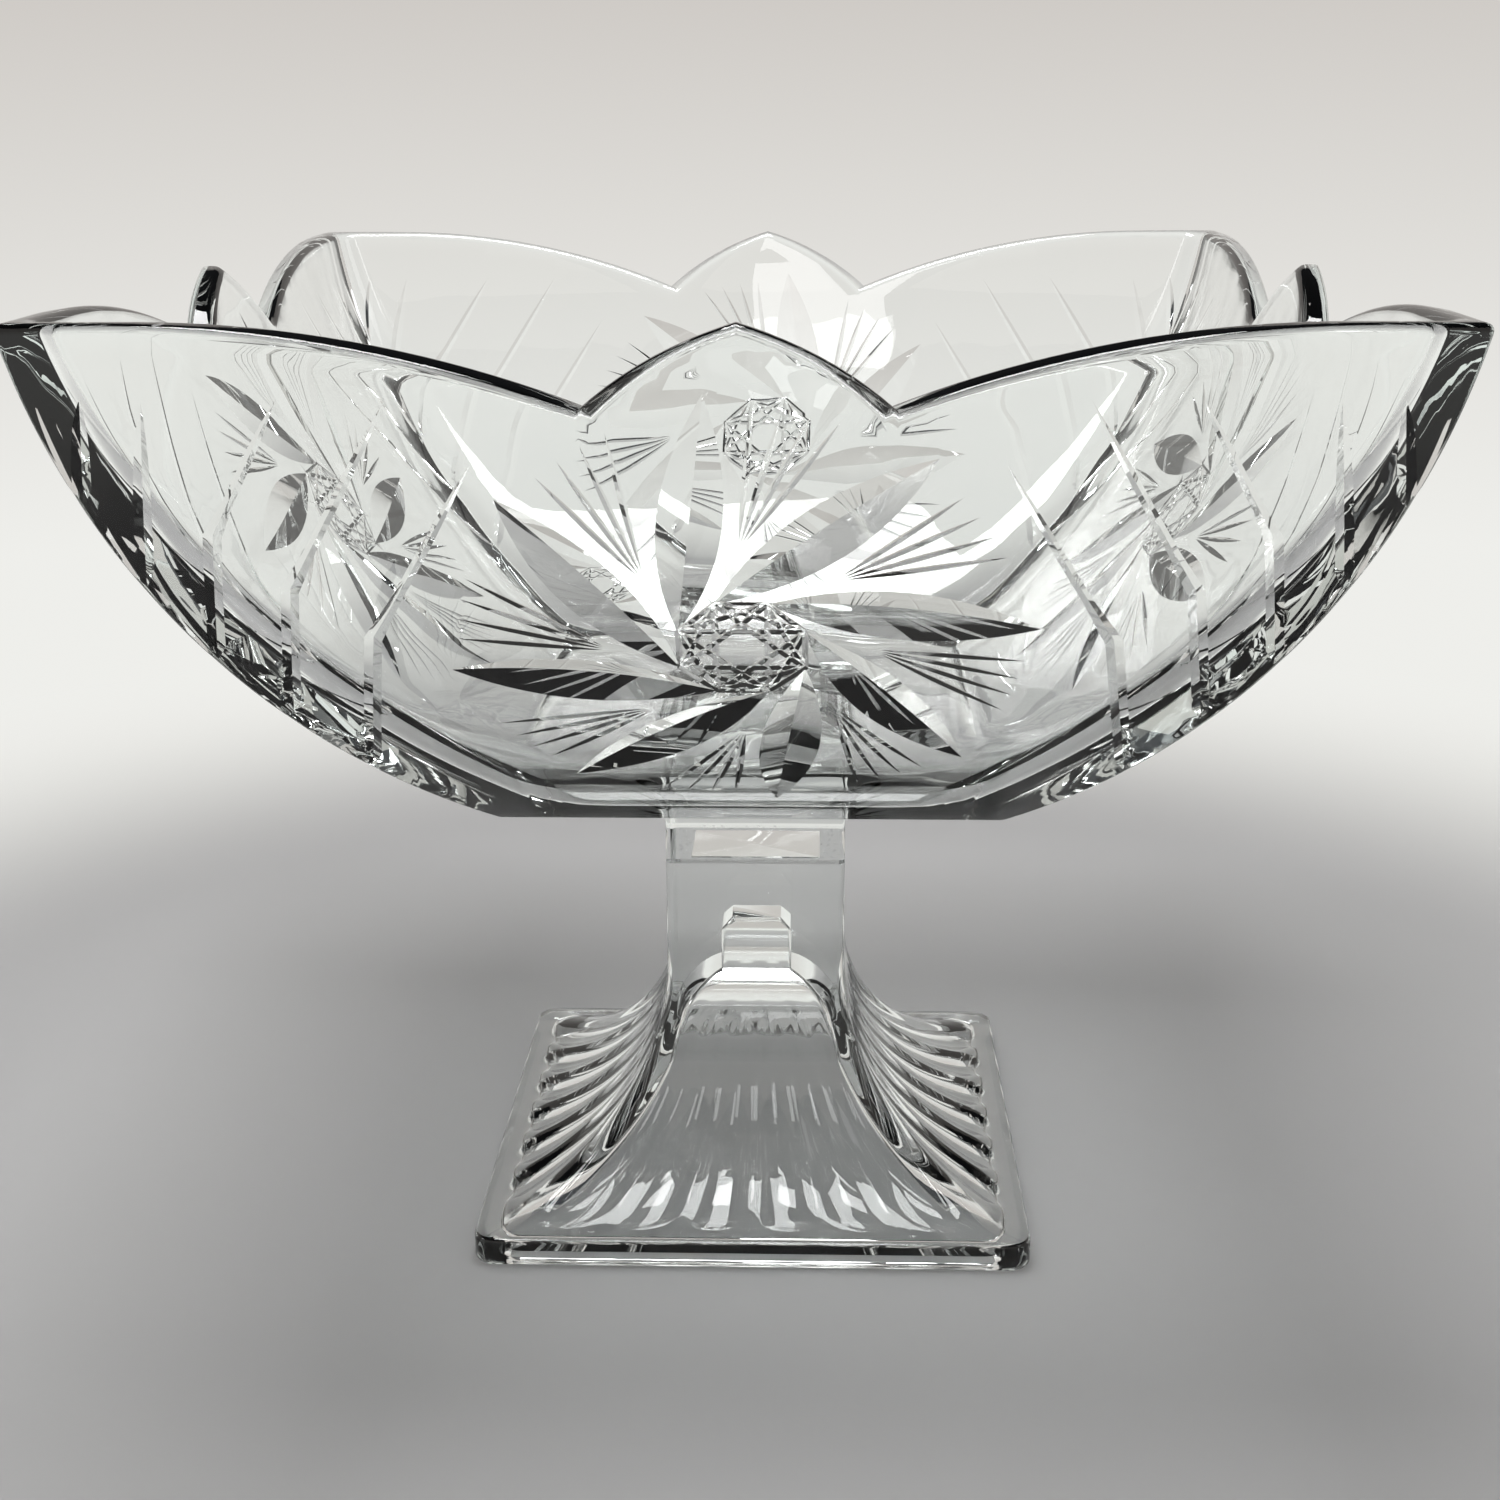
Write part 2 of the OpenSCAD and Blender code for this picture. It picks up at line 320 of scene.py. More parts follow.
class LeafCut:
    # a groove with a pointed bed that widens and deepens to its middle, as a wheel cuts it
    def __init__(self, root, tip, width, depth):
        self.root, self.tip = np.array(root), np.array(tip)
        self.length = np.linalg.norm(self.tip - self.root)
        self.along = (self.tip - self.root) / self.length
        self.across = np.array((-self.along[1], self.along[0]))
        self.width, self.deep = width, depth

    # bed and both edges
    def lines(self):
        steps = max(wallGrid["leafSteps"], int(self.length / wallGrid["leafStep"]))
        t = (1 - np.cos(np.linspace(0, pi, steps + 1))) / 2
        bed = self.root + np.outer(t, self.tip - self.root)
        bulge = np.outer(2 * self.width * t * (1 - t), self.across)
        return [bed, bed + bulge, bed - bulge]

    def depth(self, points):
        q = points - self.root
        t = np.clip(q @ self.along / self.length, 0, 1)
        aside = np.abs(q @ self.across)
        return np.maximum(0, self.deep * (4 * t * (1 - t) - 2 * aside / self.width))


class GrooveCut:
    # a narrow pointed groove along a line, with the share of its width and depth at each point
    def __init__(self, path, width, depth, share=None):
        self.path = np.array(path)
        self.width, self.deep = width, depth
        self.share = np.ones(len(self.path)) if share is None else share

    def lines(self):
        way = np.gradient(self.path, axis=0)
        way /= np.linalg.norm(way, axis=1)[:, None]
        aside = np.stack([-way[:, 1], way[:, 0]], 1) * (self.width / 2 * self.share)[:, None]
        return [self.path, self.path + aside, self.path - aside]

    def depth(self, points):
        deepest = np.zeros(len(points))
        for a, b, shareA, shareB in zip(self.path, self.path[1:], self.share, self.share[1:]):
            t = np.clip((points - a) @ (b - a) / ((b - a) @ (b - a)), 0, 1)
            away = np.linalg.norm(points - a - np.outer(t, b - a), axis=1)
            share = shareA + t * (shareB - shareA)
            deepest = np.maximum(deepest, self.deep * (share - 2 * away / self.width))
        return deepest


# foot of an upright corner cut, on the corner edge
def cutFoot(index):
    s = cornerCut["firstS"] + cornerCut["pitch"] * index
    return float(wallAt(s)[0]), s


# middle line of an upright cut, which leans in a little
def cutX(index, run):
    x, s = cutFoot(index)
    return x - bowlShape["cornerSoft"] - tan(cornerCut["uprightLean"]) * np.maximum(run - s, 0)


# upright cuts from the corner edge; from the top of the lower ones a slimmer cut leans further
def cornerCuts():
    shape, cuts = cornerCut, []
    limit = wallTop - shape["plain"]
    for index, upright in enumerate(shape["uprights"]):
        s = cutFoot(index)[1]
        end = min(s + upright, limit)
        runs = np.linspace(s + shape["startGap"], end, shape["points"])
        path = [(float(cutX(index, run)), run) for run in runs]
        along = np.linspace(0, 1, shape["points"])
        share = np.minimum(1, shape["startShare"] + shape["widening"] * along)
        if index < shape["leaning"]:
            topX, rise = path[-1][0], min(shape["rise"], limit - end)
            along = np.linspace(0, 1, shape["leanPoints"])[1:]
            path += [(topX - tan(shape["lean"]) * rise * t, end + rise * t) for t in along]
            slim = shape["slim"] + (1 - shape["slim"]) * np.clip(1 - shape["slimming"] * along, 0, 1)
            share = np.concatenate([share, slim * (1 - along ** shape["tipPower"])])
        else:
            share = share * (1 - along ** shape["tipPower"])
        for flip in (1, -1):
            cuts.append(GrooveCut(np.array(path) * (flip, 1), shape["width"], shape["depth"], share))
    return cuts


class Pillows:
    # the wall swells a little between two upright cuts
    def depth(self, points):
        x, s = np.abs(points[:, 0]), points[:, 1]
        edge = np.clip((wallAt(s)[0] - x) / cornerCut["edge"], 0, 1)
        deepest = np.zeros(len(points))
        for index, upright in enumerate(cornerCut["uprights"][:-1]):
            foot, left, right = cutFoot(index)[1], cutX(index, s), cutX(index + 1, s)
            lane = (2 * x - left - right) / (right - left)
            fade = np.clip((foot + upright - s) / (upright / 2), 0, 1)
            swell = cornerCut["pillow"] * lane ** 2 * fade * edge
            deepest = np.maximum(deepest, np.where(np.abs(lane) < 1, swell, 0))
        return deepest

    def spots(self):
        spots, step = [], wallGrid["pillowStep"]
        foot = cutFoot(0)[1]
        left = cutX(0, foot + cornerCut["uprights"][0])
        for s in np.arange(foot, wallTop - cornerCut["plain"], step):
            for x in np.arange(left, bowlShape["rimHalf"], step * wallGrid["pillowAcross"]):
                spots += [(x, s), (-x, s)]
        return spots


# leaves round an eight-sided button, a fan of thin cuts beside each leaf and a star on the button
def wheelCuts():
    shape, cuts = wheelCut, []
    middle, step = np.array((0, shape["s"])), 360 / shape["leaves"]

    def spot(radius, degrees):
        return middle + radius * np.array((cos(radians(degrees)), sin(radians(degrees))))

    for i in range(shape["leaves"]):
        rootTurn = step * (i + 0.5)
        tipTurn = rootTurn - shape["turn"]
        root, tip = spot(shape["buttonR"], rootTurn), spot(shape["reach"], tipTurn)
        cuts.append(LeafCut(root, tip, shape["leafWidth"], shape["leafDepth"]))
        fanR, fanTurn = shape["fanFrom"]
        for turn in shape["fanTurns"]:
            start = spot(fanR, tipTurn - fanTurn - (turn - shape["fanMiddle"]) * shape["fanSplay"])
            end = spot(shape["fanReach"], tipTurn - turn)
            cuts.append(LeafCut(start, end, shape["fanWidth"], shape["fanDepth"]))
        for skip, kind in ((1, "border"), (2, "star"), (3, "star")):
            far = spot(shape["buttonR"], rootTurn + step * skip)
            cuts.append(GrooveCut((root, far), shape[kind + "Width"], shape[kind + "Depth"]))
    return cuts


rimXs = rimColumns()
rimHighs = rimHeight(rimXs)
wallTop = float(runAt(bowlShape["rimHigh"]))
panelTops = runAt(rimHighs) - bowlShape["rimSoft"]
panelFoot = bowlShape["underSoft"]


# runs up the corner edge, with one at the foot of every upright cut
def cornerRows():
    stops = [panelFoot]
    stops += [cutFoot(i)[1] for i in range(len(cornerCut["uprights"]))]
    stops.append(float(panelTops[-1]))
    rows = []
    for low, high in zip(stops, stops[1:]):
        count = max(2, int((high - low) / wallGrid["rowStep"]))
        rows += list(np.linspace(low, high, count, endpoint=False))
    return np.array(rows + stops[-1:])


# foot, right side and top of one wall laid out flat: x along it and s up it
def panelSides():
    soft, rows = bowlShape["cornerSoft"], cornerRows()
    foot = np.stack([spread(rimXs, wallAt(panelFoot)[0] - soft), np.full(len(rimXs), panelFoot)], 1)
    right = np.stack([wallAt(rows)[0] - soft, rows], 1)
    top = np.stack([spread(rimXs, wallAt(panelTops)[0] - soft), panelTops], 1)
    return foot, right, top


def onPanel(q, top, inset):
    if not panelFoot + inset < q[1] < np.interp(q[0], top[:, 0], top[:, 1]) - inset:
        return False
    return abs(q[0]) < float(wallAt(q[1])[0]) - bowlShape["cornerSoft"] - inset


# spots clear of what is seen already: close ones on the pillows, a plain grid elsewhere, none on a leaf
def fillSpots(cuts, pillows, top, seen):
    near = kdtree.KDTree(len(seen))
    for i, q in enumerate(seen):
        near.insert((q[0], q[1], 0), i)
    near.balance()
    spots, step = pillows.spots(), wallGrid["plainStep"]
    close = len(spots)
    for row, s in enumerate(np.arange(panelFoot, wallTop, step * wallGrid["plainRows"])):
        for x in np.arange(-bowlShape["rimHalf"], bowlShape["rimHalf"], step):
            spots.append((x + step / 2 * (row % 2), s))
    places = np.array(spots)
    bare = sum(cut.depth(places) for cut in cuts if isinstance(cut, LeafCut)) == 0
    pillowed = pillows.depth(places) > 0
    kept = []
    for i, q in enumerate(spots):
        plain = i >= close
        if plain == pillowed[i] or not bare[i] or not onPanel(q, top, wallGrid["spotInset"]):
            continue
        if near.find((q[0], q[1], 0))[2] > wallGrid["plainGap" if plain else "pillowGap"]:
            kept.append(q)
    return kept


# one cut wall, laid out flat, with the depth of the cuts at every point and the ids along its four sides
def cutPanel():
    foot, right, top = panelSides()
    border = np.concatenate([foot, right[1:-1], top[::-1], (right * (-1, 1))[1:-1][::-1]])
    points = [tuple(p) for p in border]
    edges = [(i, (i + 1) % len(border)) for i in range(len(border))]
    cuts, pillows = wheelCuts() + cornerCuts(), Pillows()
    seen = list(points)
    for cut in cuts:
        for line in cut.lines():
            kept = [q for q in line if onPanel(q, top, wallGrid["lineInset"])]
            first = len(points)
            points += [tuple(q) for q in kept]
            edges += [(first + i, first + i + 1) for i in range(len(kept) - 1)]
            for a, b in zip(kept, kept[1:]):
                count = max(2, int(np.linalg.norm(b - a)))
                seen += [tuple(a + (b - a) * t) for t in np.linspace(0, 1, count)]
    points += fillSpots(cuts, pillows, top, seen)

    places = [Vector(p) for p in points]
    flat, _, triangles, origins, _, _ = delaunay_2d_cdt(places, edges, [], 1, wallGrid["merge"])
    flat = np.array([tuple(v) for v in flat])
    depth = np.max([cut.depth(flat) for cut in cuts + [pillows]], axis=0)
    found = {source: index for index, sources in enumerate(origins) for source in sources}
    order = [found[i] for i in range(len(border))]
    count, side = len(rimXs), len(right)
    ids = {
        "foot": order[:count],
        "right": order[count - 1:count + side - 1],
        "top": order[count + side - 2:2 * count + side - 2][::-1],
        "left": [order[0]] + order[2 * count + side - 2:][::-1] + [order[2 * count + side - 3]],
    }
    return flat, depth, triangles, ids


# the four cut walls and the soft corner edges between them; gives the rings of ids at their foot and top
def addWalls(mould):
    flat, depth, triangles, ids = cutPanel()
    print("cut wall:", len(flat), "points", len(triangles), "triangles")
    soft, count = bowlShape["cornerSoft"], len(flat)
    out, high = wallAt(flat[:, 1], depth)
    x = flat[:, 0].copy()
    x[ids["right"]] = out[ids["right"]] - soft
    x[ids["left"]] = soft - out[ids["left"]]
    mould.cut.update(mould.add(turned(np.stack([x, -out, high], 1))))
    for quarter in range(sides):
        mould.faces += [tuple(quarter * count + i for i in face) for face in triangles]
    footRing, topRing = [], []
    for quarter in range(sides):
        start, after = quarter * count, (quarter + 1) % sides * count
        columns = [[start + i for i in ids["right"]]]
        for angle in cornerTurns(bowlShape["cornerSteps"]):
            column = []
            for i in ids["right"]:
                middle = out[i] - soft
                spot = (middle + soft * cos(angle), soft * sin(angle) - middle, high[i])
                column.append(turned([spot])[quarter])
            columns.append(mould.add(column))
        columns.append([after + i for i in ids["left"]])
        for a, b in zip(columns, columns[1:]):
            mould.strip(a, b)
        footRing += [start + i for i in ids["foot"]] + [column[0] for column in columns[1:-1]]
        topRing += [start + i for i in ids["top"]] + [column[-1] for column in columns[1:-1]]
    return footRing, topRing


def bowlRing(outs, highs, soft):
    outs = np.broadcast_to(np.asarray(outs, float), rimXs.shape)
    highs = np.broadcast_to(np.asarray(highs, float), rimXs.shape)
    return squareRing(outs, spread(rimXs, outs - soft), highs, soft, bowlShape["cornerSteps"])


# the round rim, then the plain inside down to the floor
def addInside(mould, topRing):
    shape, rings = bowlShape, []
    soft, steps, under = shape["rimSoft"], shape["rimSteps"], rimHighs - shape["rimSoft"]
    outer, inner = wallAt(runAt(rimHighs))[0], insideAt(rimHighs)
    for outs, highs in softEdge(wallAt(panelTops), (outer, rimHighs), (outer - soft, rimHighs), steps)[1:]:
        rings.append(bowlRing(outs, highs, shape["cornerSoft"]))
    for outs, highs in softEdge((inner + soft, rimHighs), (inner, rimHighs), (insideAt(under), under), steps):
        rings.append(bowlRing(outs, highs, insideSoft(highs[-1])))
    low = floorTop + shape["floorSoftUp"]
    for t in np.linspace(1, 0, shape["insideRings"])[1:]:
        highs = low + t ** shape["insideBunch"] * (under - low)
        rings.append(bowlRing(insideAt(highs), highs, insideSoft(highs[-1])))
    edge, cornerSoft = float(insideAt(floorTop)), shape["insideSoftLow"]
    flatEdge = edge - shape["floorSoft"]
    start, corner, end = (float(insideAt(low)), low), (edge, floorTop), (flatEdge, floorTop)
    for out, high in softEdge(start, corner, end, shape["floorSteps"])[1:]:
        rings.append(bowlRing(out, high, cornerSoft * out / edge))
    for share in shape["floorShares"]:
        rings.append(bowlRing(flatEdge * share, floorTop, cornerSoft * share))
    ids = mould.loft(rings)
    mould.band(topRing, ids[0])
    mould.faces.append(tuple(ids[-1]))


# the flat underside and the stub that stands on the neck
def addUnderside(mould, footRing):
    shape, rings = bowlShape, []
    half, level = shape["floorHalf"], shape["floorHigh"]
    for out, high in softEdge(wallAt(panelFoot), (half, level), (half - shape["underSoft"], level))[1:]:
        rings.append(bowlRing(out, high, shape["cornerSoft"]))
    stub, soft, fillet = shape["stubHalf"], shape["stubSoft"], shape["stubFillet"]
    rings.append(bowlRing((half + stub) / 2, level, soft))
    start, corner, end = (stub + fillet, level), (stub, level), (stub, level - fillet)
    for out, high in softEdge(start, corner, end, shape["filletSteps"]):
        rings.append(bowlRing(out, high, soft + out - stub))
    low, edge = shape["stubLow"] + shape["bondClear"], shape["stubEdge"]
    rings.append(bowlRing(stub, (low + level) / 2, soft))
    for out, high in softEdge((stub, low + edge), (stub, low), (stub - edge, low)):
        rings.append(bowlRing(out, high, soft))
    ids = mould.loft(rings)
    mould.band(footRing, ids[0])
    mould.faces.append(tuple(ids[-1]))


def buildBowl():
    mould = Mould()
    footRing, topRing = addWalls(mould)
    addInside(mould, topRing)
    addUnderside(mould, footRing)
    return mould.cast("crystal_bowl", bowlShape["crisp"], bowlShape["crispCut"])


bowl = buildBowl()

# Pedestal: its shape in millimetres, then the counts of steps and rings, then the crisp angle in degrees
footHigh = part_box("pedestal")[1] / mm
footShape = {
    "half": footHigh.x,
    "neckHigh": footHigh.z,
    "cornerSoft": 6.0,
    "lip": 7.6,
    "lipSoft": 0.9,
    "ringBevel": 0.27,
    "neckHalf": 25.0,
    "flareR": 59.0,
    "ring": 7.5,
    "hollowR": 66.5,
    "hollowHalf": 10.0,
    "hollowHigh": 74.0,
    "crown": 3.0,
    "crownEdge": 0.3,
    "shoulderHigh": 37.0,
    "shoulderRise": 25.0,
    "shoulderTop": radians(62),
    "flutes": 6,
    "pitch": 22.4,
    "ridge": 1.4,
    "depth": 2.4,
    "back": 4.0,
    "highTilt": radians(12),
    "fluteReach": 1.04,
    "flutePower": 8,
    "topSoft": 0.5,
    "bondClear": 0.03,
    "cornerSteps": 6,
    "fluteSteps": 10,
    "shoulderRings": 13,
    "hollowRings": 24,
    "fluteRings": 49,
    "neckRings": 6,
    "crisp": 40,
}

# the flare is one arc from the lip up to the neck
flareOut = footShape["neckHalf"] + footShape["flareR"]
flareHigh = footShape["lip"] + sqrt(footShape["flareR"] ** 2 - (flareOut - footShape["half"]) ** 2)


# place on the flare's arc, tilted down from level, and a depth inside its face
def flareAt(tilt, depth=0.0):
    reach = footShape["flareR"] + depth
    return flareOut - reach * cos(tilt), flareHigh - reach * sin(tilt)


# columns over one side of the foot, a narrow ridge between two flutes, and where each is across its flute
def footColumns():
    shape, xs, acrosses = footShape, [], []
    limit = shape["half"] - shape["cornerSoft"]
    half = (shape["pitch"] - shape["ridge"]) / 2
    for i in range(shape["flutes"]):
        middle = (i - (shape["flutes"] - 1) / 2) * shape["pitch"]
        for across in np.linspace(-1, 1, shape["fluteSteps"] + 1):
            xs.append(middle + across * half)
            acrosses.append(across)
    return np.array([-limit] + xs + [limit]), np.array([1.0] + acrosses + [1.0])


footXs, footAcross = footColumns()


# every ring of the foot is the base outline, drawn in
def footRing(outs, highs, size):
    outs = np.broadcast_to(np.asarray(outs, float), footXs.shape)
    highs = np.broadcast_to(np.asarray(highs, float), footXs.shape)
    half, soft = footShape["half"], footShape["cornerSoft"]
    return squareRing(outs, footXs * size / half, highs, soft * size / half, footShape["cornerSteps"])


# hollow: narrow top, long shoulder, flare, then the ring that stands on the table, up to the lip
def hollowProfile():
    shape, half, radius = footShape, footShape["half"], footShape["hollowR"]
    narrow, top, crown, edge = shape["hollowHalf"], shape["hollowHigh"], shape["crown"], shape["crownEdge"]
    profile = [(narrow - crown, top + crown), (narrow - edge, top + edge), (narrow, top - edge)]
    shoulderTilt = asin(1 - shape["shoulderHigh"] / radius)
    shoulderOut = flareOut - radius * cos(shoulderTilt)
    run = (shoulderOut - narrow) / (1 - cos(shape["shoulderTop"]))
    rise = shape["shoulderRise"] / sin(shape["shoulderTop"])
    for angle in np.linspace(shape["shoulderTop"], 0, shape["shoulderRings"]):
        profile.append((shoulderOut - run * (1 - cos(angle)), shape["shoulderHigh"] + rise * sin(angle)))
    hollowOut = half - shape["ring"]
    endTilt = acos((flareOut - hollowOut) / radius)
    for tilt in np.linspace(shoulderTilt, endTilt, shape["hollowRings"])[1:]:
        profile.append((flareOut - radius * cos(tilt), radius - radius * sin(tilt)))
    soft, bevel = shape["lipSoft"], shape["ringBevel"]
    profile += [(hollowOut, soft), (hollowOut + bevel, bevel), (hollowOut + soft, 0)]
    profile += [(half - soft, 0), (half - bevel, bevel), (half, soft), (half, shape["lip"] - soft)]
    return profile


def buildPedestal():
    mould, shape, half = Mould(), footShape, footShape["half"]
    rings = [footRing(out, high, out) for out, high in hollowProfile()]

    # lip edge, fluted flare, neck
    lip, soft, radius = shape["lip"], shape["lipSoft"], shape["flareR"]
    start = flareAt(acos((flareOut - half) / radius) - soft / radius)
    for out, high in softEdge((half, lip - soft), (half, lip), start)[1:]:
        rings.append(footRing(out, high, out))
    lowTilt = acos((flareOut - half + shape["back"]) / radius)
    for along in (1 - np.cos(np.linspace(0, pi, shape["fluteRings"]))) / 2:
        tilt = lowTilt + (shape["highTilt"] - lowTilt) * along
        size = flareAt(tilt)[0]
        fade = (shape["fluteReach"] * (2 * along - 1)) ** shape["flutePower"]
        deep = shape["depth"] * size / half * np.maximum(0, 1 - footAcross ** 2 - fade)
        rings.append(footRing(*flareAt(tilt, deep), size))
    for tilt in np.linspace(shape["highTilt"], 0, shape["neckRings"])[1:]:
        out, high = flareAt(tilt)
        rings.append(footRing(out, high, out))
    top, edge, neck = shape["neckHigh"] - shape["bondClear"], shape["topSoft"], shape["neckHalf"]
    rings.append(footRing(neck, (flareHigh + top) / 2, neck))
    for out, high in softEdge((neck, top - edge), (neck, top), (neck - edge, top)):
        rings.append(footRing(out, high, neck))
    ids = mould.loft(rings)
    mould.faces += [tuple(ids[0]), tuple(ids[-1])]
    return mould.cast("crystal_foot", shape["crisp"])


pedestal = buildPedestal()


class Sock:
    # a shader socket that can stand in a Python expression
    def __init__(self, wiring, socket):
        self.wiring, self.socket = wiring, socket

    def join(self, operation, first, second=0.0, third=0.0):
        return self.wiring.node("ShaderNodeMath", {"operation": operation}, {0: first, 1: second, 2: third})

    def __abs__(self):
        return self.join("ABSOLUTE", self)

    def __add__(self, other):
        return self.join("ADD", self, other)

    def __radd__(self, other):
        return self.join("ADD", other, self)

    def __sub__(self, other):
        return self.join("SUBTRACT", self, other)

    def __rsub__(self, other):
        return self.join("SUBTRACT", other, self)

    def __mul__(self, other):
        return self.join("MULTIPLY", self, other)

    def __rmul__(self, other):
        return self.join("MULTIPLY", other, self)


class Wiring:
    # adds nodes to one tree
    def __init__(self, tree):
        self.tree = tree
        tree.nodes.clear()

    def node(self, kind, settings=None, sockets=None, output=0):
        made = self.tree.nodes.new(kind)
        for name, value in (settings or {}).items():
            setattr(made, name, value)
        for name, value in (sockets or {}).items():
            if isinstance(value, Sock):
                self.tree.links.new(value.socket, made.inputs[name])
            else:
                made.inputs[name].default_value = value
        return Sock(self, made.outputs[output]) if len(made.outputs) else made


def newFinish(name):
    material = bpy.data.materials.new(name)
    material.use_nodes = True
    wire = Wiring(material.node_tree)
    return material, wire, wire.node("ShaderNodeTexCoord", output="Object")


def blend(wire, share, first, second):
    return wire.node("ShaderNodeMix", {"data_type": "RGBA"}, {0: share, 6: first, 7: second}, 2)


# 0 to 1 as the value goes from start to end
def grade(wire, value, start, end, kind="LINEAR"):
    sockets = {"Value": value, "From Min": start, "From Max": end}
    return wire.node("ShaderNodeMapRange", {"interpolation_type": kind}, sockets)


# Crystal: clear, faintly cool, with a wiped haze and a slight wave from the mould; lengths in metres
crystal = {
    "clear": (0.985, 0.995, 0.99, 1),
    "hazy": (0.95, 0.97, 0.965, 1),
    "ior": 1.545,
    "absorb": (0.72, 0.86, 0.82, 1),
    "density": 2.0,
    "polish": 0.004,
    "haze": 0.03,
    "smear": {"Scale": 28, "Detail": 5, "Roughness": 0.6},
    "smearRange": (0.52, 0.8),
    "ripple": {"Scale": 38, "Detail": 1},
    "wave": {"Strength": 0.35, "Distance": 0.0004},
    "shadow": 0.25,
    "shadowTint": (0.9, 0.93, 0.92, 1),
    "bondHigh": 0.09815,
    "bondNear": 0.0006,
    "bondGap": 0.018,
}


# 1 on the two faces that the film joins, which let light run on from glass to glass
def bonded(wire, place):
    x, y, z = (wire.node("ShaderNodeSeparateXYZ", None, {0: place}, i) for i in range(3))
    aside = x.join("MAXIMUM", abs(x), abs(y))
    near = z.join("COMPARE", z, crystal["bondHigh"], crystal["bondNear"])
    return near * aside.join("GREATER_THAN", aside, crystal["bondGap"])


def crystalFinish(name):
    material, wire, place = newFinish(name)
    smear = wire.node("ShaderNodeTexNoise", None, {"Vector": place, **crystal["smear"]})
    ripple = wire.node("ShaderNodeTexNoise", None, {"Vector": place, **crystal["ripple"]})
    haze = grade(wire, smear, *crystal["smearRange"])
    glass = wire.node("ShaderNodeBsdfPrincipled", None, {
        "Base Color": blend(wire, haze, crystal["clear"], crystal["hazy"]),
        "Roughness": crystal["polish"] + crystal["haze"] * haze,
        "IOR": crystal["ior"],
        "Transmission Weight": 1,
        "Normal": wire.node("ShaderNodeBump", None, {"Height": ripple, **crystal["wave"]}),
        "Alpha": 1 - bonded(wire, place),
    })
    lamp = wire.node("ShaderNodeLightPath", output="Is Shadow Ray")
    through = wire.node("ShaderNodeBsdfTransparent", None, {"Color": crystal["shadowTint"]})
    surface = wire.node("ShaderNodeMixShader", None, {0: lamp * crystal["shadow"], 1: glass, 2: through})
    tint = {"Color": crystal["absorb"], "Density": crystal["density"]}
    body = wire.node("ShaderNodeVolumeAbsorption", None, tint)
    wire.node("ShaderNodeOutputMaterial", None, {"Surface": surface, "Volume": body})
    return material


# Bond film: clear cured adhesive with tiny bubbles
adhesive = {
    "clear": (0.9, 0.93, 0.9, 1),
    "bubble": (0.98, 0.99, 0.98, 1),
    "bubbleScale": 420,
    "bubbleRange": (0.25, 0.12),
    "roughness": (0.12, 0.3),
    "ior": 1.5,
    "alpha": (0.06, 0.3),
}


def bondFinish():
    material, wire, place = newFinish("cured_adhesive")
    bubbles = wire.node("ShaderNodeTexVoronoi", None, {"Vector": place, "Scale": adhesive["bubbleScale"]})
    mark = grade(wire, bubbles, *adhesive["bubbleRange"])
    rough, roughMore = adhesive["roughness"]
    alpha, alphaMore = adhesive["alpha"]
    clear = wire.node("ShaderNodeBsdfPrincipled", None, {
        "Base Color": blend(wire, mark, adhesive["clear"], adhesive["bubble"]),
        "Roughness": rough + roughMore * mark,
        "IOR": adhesive["ior"],
        "Transmission Weight": 1,
        "Alpha": alpha + alphaMore * mark,
    })
    wire.node("ShaderNodeOutputMaterial", None, {"Surface": clear})
    return material


def dress(piece, node, material):
    piece.data.materials.clear()
    piece.data.materials.append(material)
    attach(piece, "root")
    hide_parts(node)


dress(bowl, "bowl", crystalFinish("cut_crystal"))
dress(pedestal, "pedestal", crystalFinish("pressed_crystal"))
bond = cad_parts["bond_film"]
bond.data.materials.clear()
bond.data.materials.append(bondFinish())
print("finishes done")

# Studio, in metres: grey floor that sweeps up to a pale wall all round
studio = {
    "radius": 0.95,
    "bend": 0.30,
    "wall": 0.90,
    "drop": 0.0002,
    "around": 96,
    "floorRings": 6,
    "bendRings": 13,
    "floor": (0.42, 0.42, 0.425, 1),
    # painted light on the wall: brighter at its foot (low) and dimmer up high (high), graded by height
    "low": (0.86, 0.86, 0.83, 1),
    "high": (0.60, 0.57, 0.54, 1),
    "lift": (0.30, 0.62),
    "paintedLightFall": (0.04, 0.40),
    "roughness": 0.7,
    "sky": (0.05, 0.053, 0.057, 1),
}


def sweepMesh():
    bend, flat, count = studio["bend"], studio["radius"] - studio["bend"], studio["around"]
    profile = [(out, 0.0) for out in np.linspace(0, flat, studio["floorRings"])[1:]]
    for angle in np.linspace(0, pi / 2, studio["bendRings"])[1:]:
        profile.append((flat + bend * sin(angle), bend - bend * cos(angle)))
    profile.append((studio["radius"], studio["wall"]))
    turns = [2 * pi * i / count for i in range(count)]
    points, faces = [(0, 0, 0)], [(0, 1 + i, 1 + (i + 1) % count) for i in range(count)]
    for out, high in profile:
        points += [(out * cos(turn), out * sin(turn), high) for turn in turns]
    for row in range(len(profile) - 1):
        low, high = 1 + row * count, 1 + (row + 1) * count
        faces += [(low + i, high + i, high + (i + 1) % count, low + (i + 1) % count) for i in range(count)]
    mesh = bpy.data.meshes.new("sweep")
    mesh.from_pydata(points, [], faces)
    mesh.shade_smooth()
    return mesh
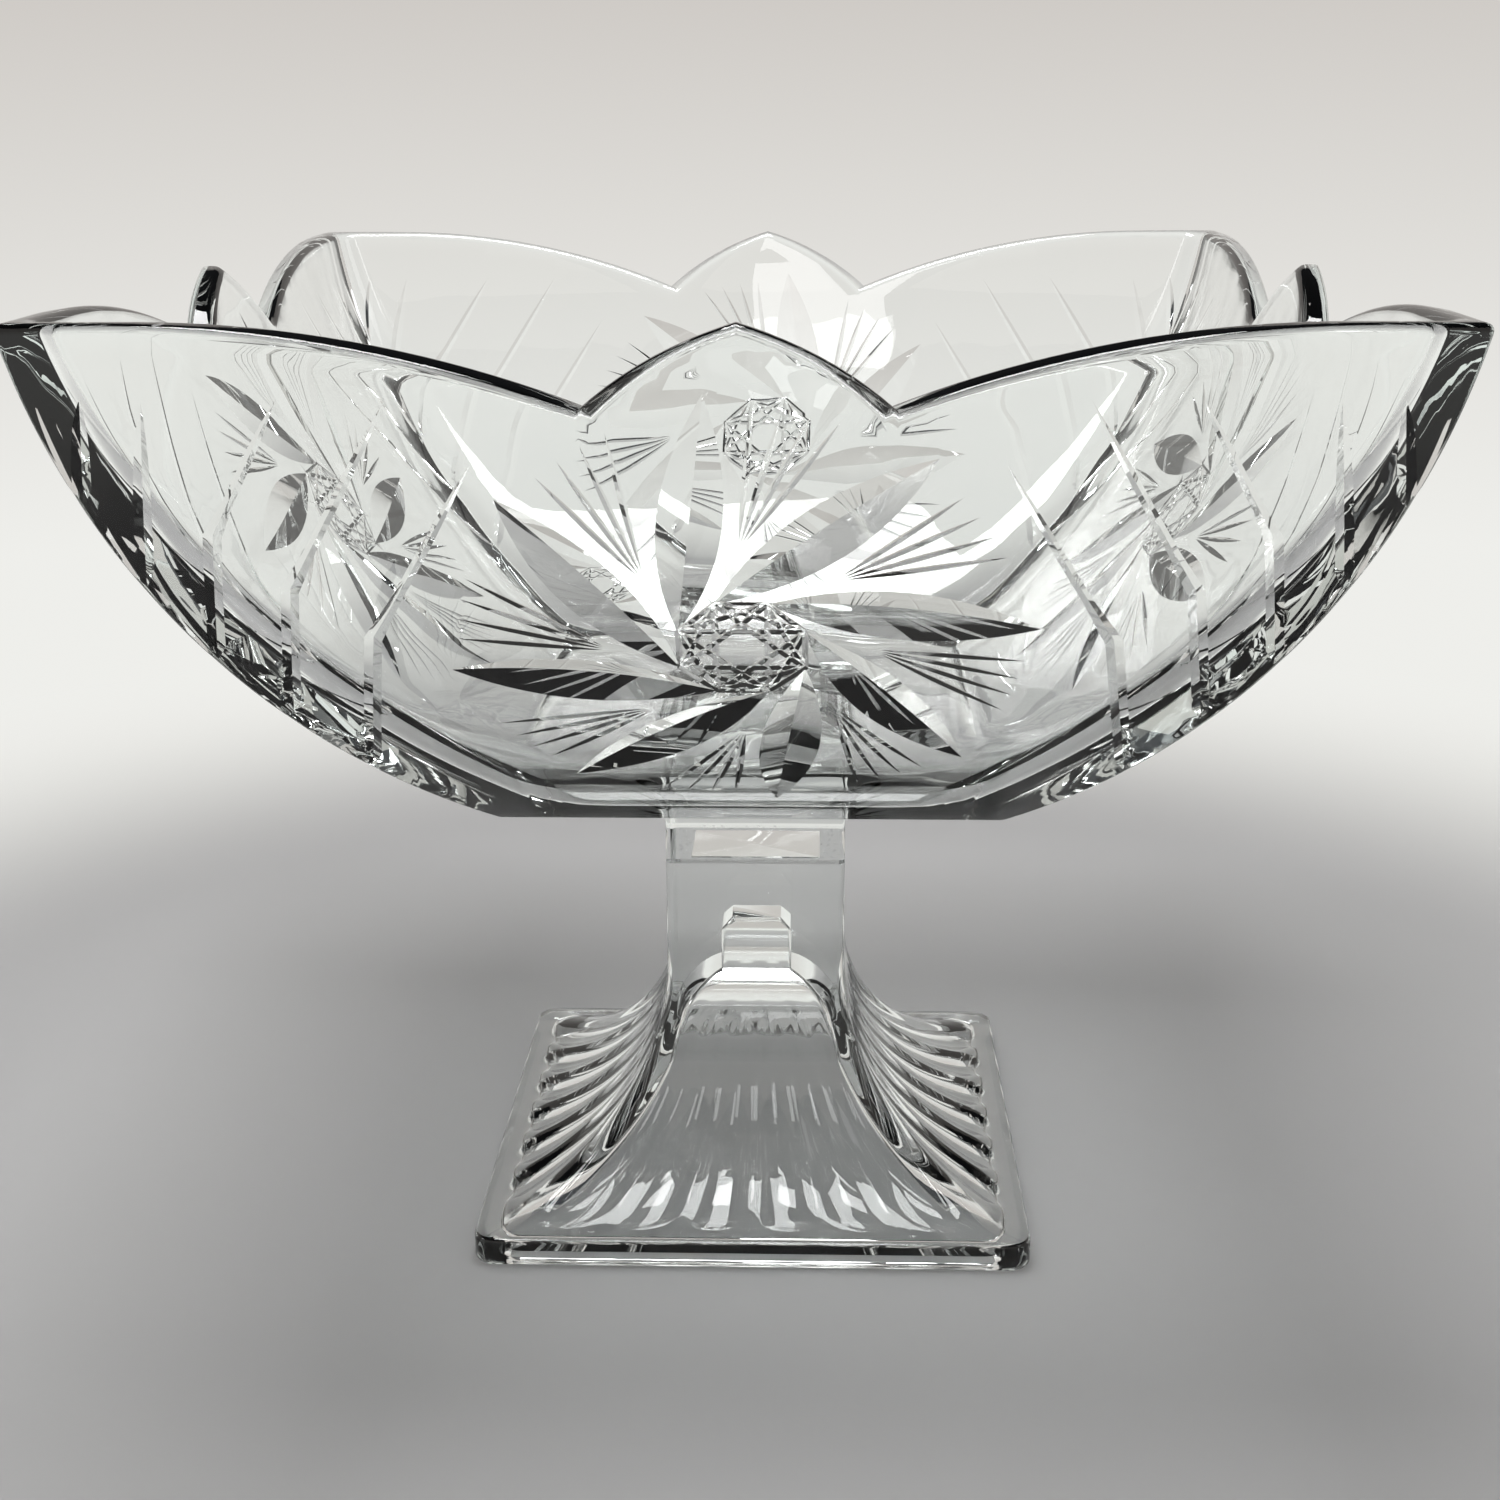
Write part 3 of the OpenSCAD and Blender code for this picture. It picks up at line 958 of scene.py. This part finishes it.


# diffuse paint near the bowl, and further out a glow with painted light: brighter at the wall's foot, dimmer
# up high
def sweepFinish():
    material, wire, place = newFinish("sweep")
    away = wire.node("ShaderNodeVectorMath", {"operation": "LENGTH"}, {0: place}, 1)
    high = wire.node("ShaderNodeSeparateXYZ", None, {0: place}, 2)
    lift = grade(wire, away, *studio["lift"], "SMOOTHSTEP")
    # painted light: the wall's paint and glow grade from bright at its foot to dimmer up high
    wall = blend(wire, grade(wire, high, *studio["paintedLightFall"]), studio["low"], studio["high"])
    tone = blend(wire, lift, studio["floor"], wall)
    coat = {"Base Color": tone, "Roughness": studio["roughness"]}
    paint = wire.node("ShaderNodeBsdfPrincipled", None, coat)
    seen = sum(wire.node("ShaderNodeLightPath", output=ray) for ray in
               ("Is Camera Ray", "Is Glossy Ray", "Is Transmission Ray"))
    share = lift * seen.join("MINIMUM", seen, 1)
    glow = wire.node("ShaderNodeEmission", None, {"Color": wall, "Strength": 1})
    surface = wire.node("ShaderNodeMixShader", None, {0: share, 1: paint, 2: glow})
    wire.node("ShaderNodeOutputMaterial", None, {"Surface": surface})
    return material


def buildStudio():
    mesh = sweepMesh()
    mesh.materials.append(sweepFinish())
    sweep = bpy.data.objects.new("sweep", mesh)
    sweep.location.z = -studio["drop"]
    bpy.context.scene.collection.objects.link(sweep)

    world = bpy.data.worlds.new("studio")
    bpy.context.scene.world = world
    world.use_nodes = True
    wire = Wiring(world.node_tree)
    sky = wire.node("ShaderNodeBackground", None, {"Color": studio["sky"], "Strength": 1})
    wire.node("ShaderNodeOutputWorld", None, {"Surface": sky})


# soft lamps that face the bowl: name, place, watts, width and height
lampAim = Vector((0, 0, 0.15))
lamps = (
    ("key", (-0.10, 0.02, 1.20), 11.0, 0.5, 0.5),
    ("side", (0.95, -0.25, 1.00), 2.0, 0.5, 0.8),
    ("front", (0.02, -0.95, 0.80), 1.0, 0.12, 0.7),
)


def placeLamps():
    for name, spot, watts, width, height in lamps:
        data = bpy.data.lights.new(name, "AREA")
        data.shape, data.size, data.size_y, data.energy = "RECTANGLE", width, height, watts
        lamp = bpy.data.objects.new(name, data)
        lamp.location = spot
        lamp.rotation_euler = (lampAim - Vector(spot)).to_track_quat("-Z", "Y").to_euler()
        bpy.context.scene.collection.objects.link(lamp)


buildStudio()
placeLamps()
print("studio ready")
